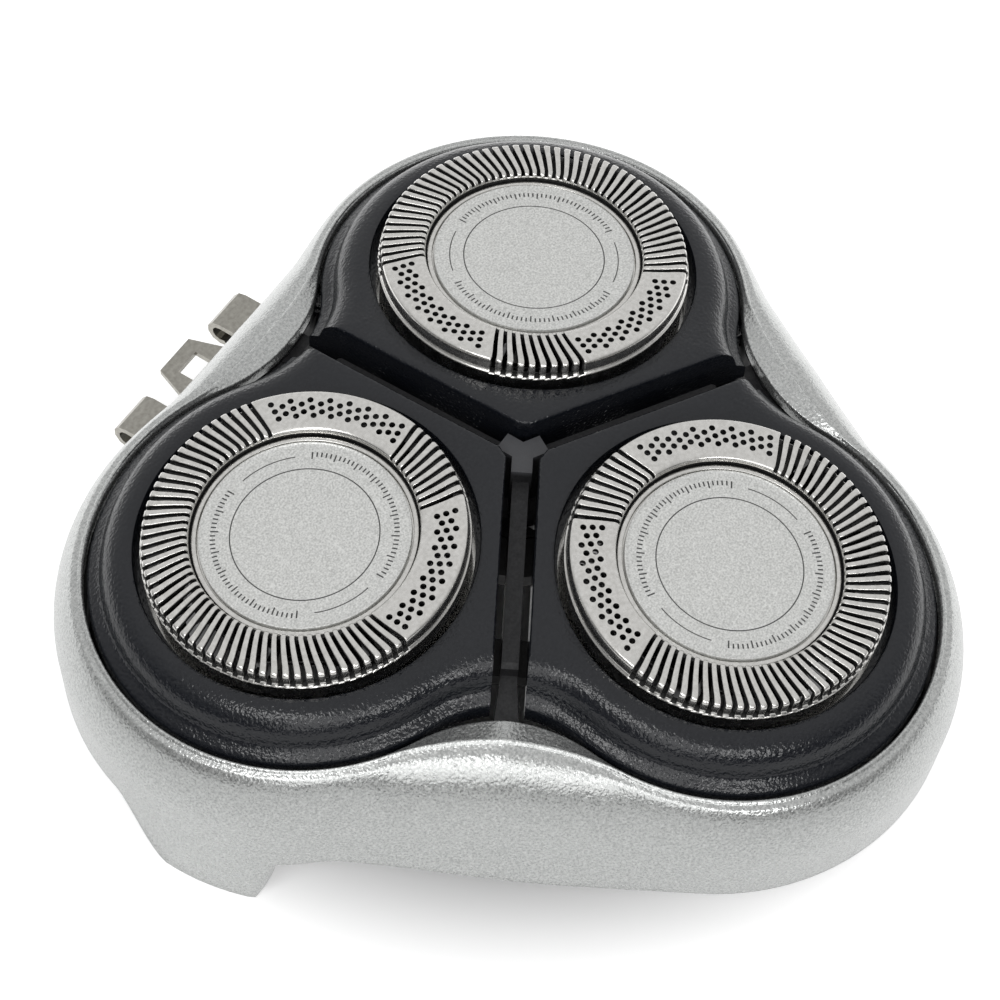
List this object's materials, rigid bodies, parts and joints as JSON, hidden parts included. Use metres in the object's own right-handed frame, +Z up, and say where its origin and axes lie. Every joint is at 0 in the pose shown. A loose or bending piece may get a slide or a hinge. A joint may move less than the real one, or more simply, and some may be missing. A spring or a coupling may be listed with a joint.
{
  "type": "rotary shaver head",
  "caption": "Rotary shaving unit: silver shell with a trefoil opening, black rocking petals, slotted steel guards, cutters and a rear hinge clip.",
  "frame": {"origin": "centre of the bounding box at its bottom, in the plane of the neck's rim; the unit's middle axis stands 1.87 mm behind it", "axes": "+Z up through the unit to the guards, -Y towards the front head, +Y towards the hinge clip, +X towards the right head"},
  "size_m": [0.0662, 0.067, 0.0234],
  "materials": {
    "shell_silver": "satin silver lacquer",
    "frame_black": "fine moulded texture",
    "petal_black": "satin",
    "guard_steel": "polished",
    "disc_satin": "satin",
    "blade_steel": "ground",
    "lifter_steel": "rolled",
    "hub_white": "satin",
    "retainer_grey": "satin",
    "lock_grey": "satin",
    "clip_steel": "rolled",
    "screw_steel": "zinc plated"
  },
  "bodies": {
    "unit": {"outer_shell": "shell_silver", "inner_frame": "frame_black", "retaining_frame": "retainer_grey", "hinge_clip": "clip_steel", "clip_screw_left": "screw_steel", "clip_screw_right": "screw_steel"},
    "lock": {"lock_wheel": "lock_grey"},
    "petal_front": {"petal_front": "petal_black"},
    "head_front": {"guard_front": "guard_steel", "guard_disc_front": "disc_satin"},
    "cutter_front": {"cutter_blades_front": "blade_steel", "cutter_lifter_front": "lifter_steel", "cutter_hub_front": "hub_white"},
    "petal_right": {"petal_right": "petal_black"},
    "head_right": {"guard_right": "guard_steel", "guard_disc_right": "disc_satin"},
    "cutter_right": {"cutter_blades_right": "blade_steel", "cutter_lifter_right": "lifter_steel", "cutter_hub_right": "hub_white"},
    "petal_left": {"petal_left": "petal_black"},
    "head_left": {"guard_left": "guard_steel", "guard_disc_left": "disc_satin"},
    "cutter_left": {"cutter_blades_left": "blade_steel", "cutter_lifter_left": "lifter_steel", "cutter_hub_left": "hub_white"}
  },
  "joints": [
    {"name": "petal_tilt_front", "type": "hinge", "parent": "unit", "child": "petal_front", "pos_m": [0, -0.01457, 0.01484], "axis": [1, 0, 0], "range_deg": [-4, 4], "stiffness_Nm_per_rad": 0.05},
    {"name": "guard_float_front", "type": "slide", "parent": "petal_front", "child": "head_front", "axis": [0, -0.1063, 0.9943], "range_m": [-0.0012, 0], "stiffness_N_per_m": 400, "springref_m": 0.001},
    {"name": "cutter_spin_front", "type": "hinge", "parent": "head_front", "child": "cutter_front", "pos_m": [0, -0.0153, 0.0217], "axis": [0, -0.1063, 0.9943], "continuous": true},
    {"name": "petal_tilt_right", "type": "hinge", "parent": "unit", "child": "petal_right", "pos_m": [0.01423, 0.01009, 0.01484], "axis": [-0.5, 0.866, 0], "range_deg": [-4, 4], "stiffness_Nm_per_rad": 0.05},
    {"name": "guard_float_right", "type": "slide", "parent": "petal_right", "child": "head_right", "axis": [0.092, 0.0531, 0.9943], "range_m": [-0.0012, 0], "stiffness_N_per_m": 400, "springref_m": 0.001},
    {"name": "cutter_spin_right", "type": "hinge", "parent": "head_right", "child": "cutter_right", "pos_m": [0.01487, 0.01045, 0.0217], "axis": [0.092, 0.0531, 0.9943], "continuous": true},
    {"name": "petal_tilt_left", "type": "hinge", "parent": "unit", "child": "petal_left", "pos_m": [-0.01423, 0.01009, 0.01484], "axis": [-0.5, -0.866, 0], "range_deg": [-4, 4], "stiffness_Nm_per_rad": 0.05},
    {"name": "guard_float_left", "type": "slide", "parent": "petal_left", "child": "head_left", "axis": [-0.092, 0.0531, 0.9943], "range_m": [-0.0012, 0], "stiffness_N_per_m": 400, "springref_m": 0.001},
    {"name": "cutter_spin_left", "type": "hinge", "parent": "head_left", "child": "cutter_left", "pos_m": [-0.01487, 0.01045, 0.0217], "axis": [-0.092, 0.0531, 0.9943], "continuous": true},
    {"name": "lock_turn", "type": "hinge", "parent": "unit", "child": "lock", "pos_m": [0, 0.00187, 0.0117], "axis": [0, 0, 1], "range_deg": [0, 90]}
  ]
}
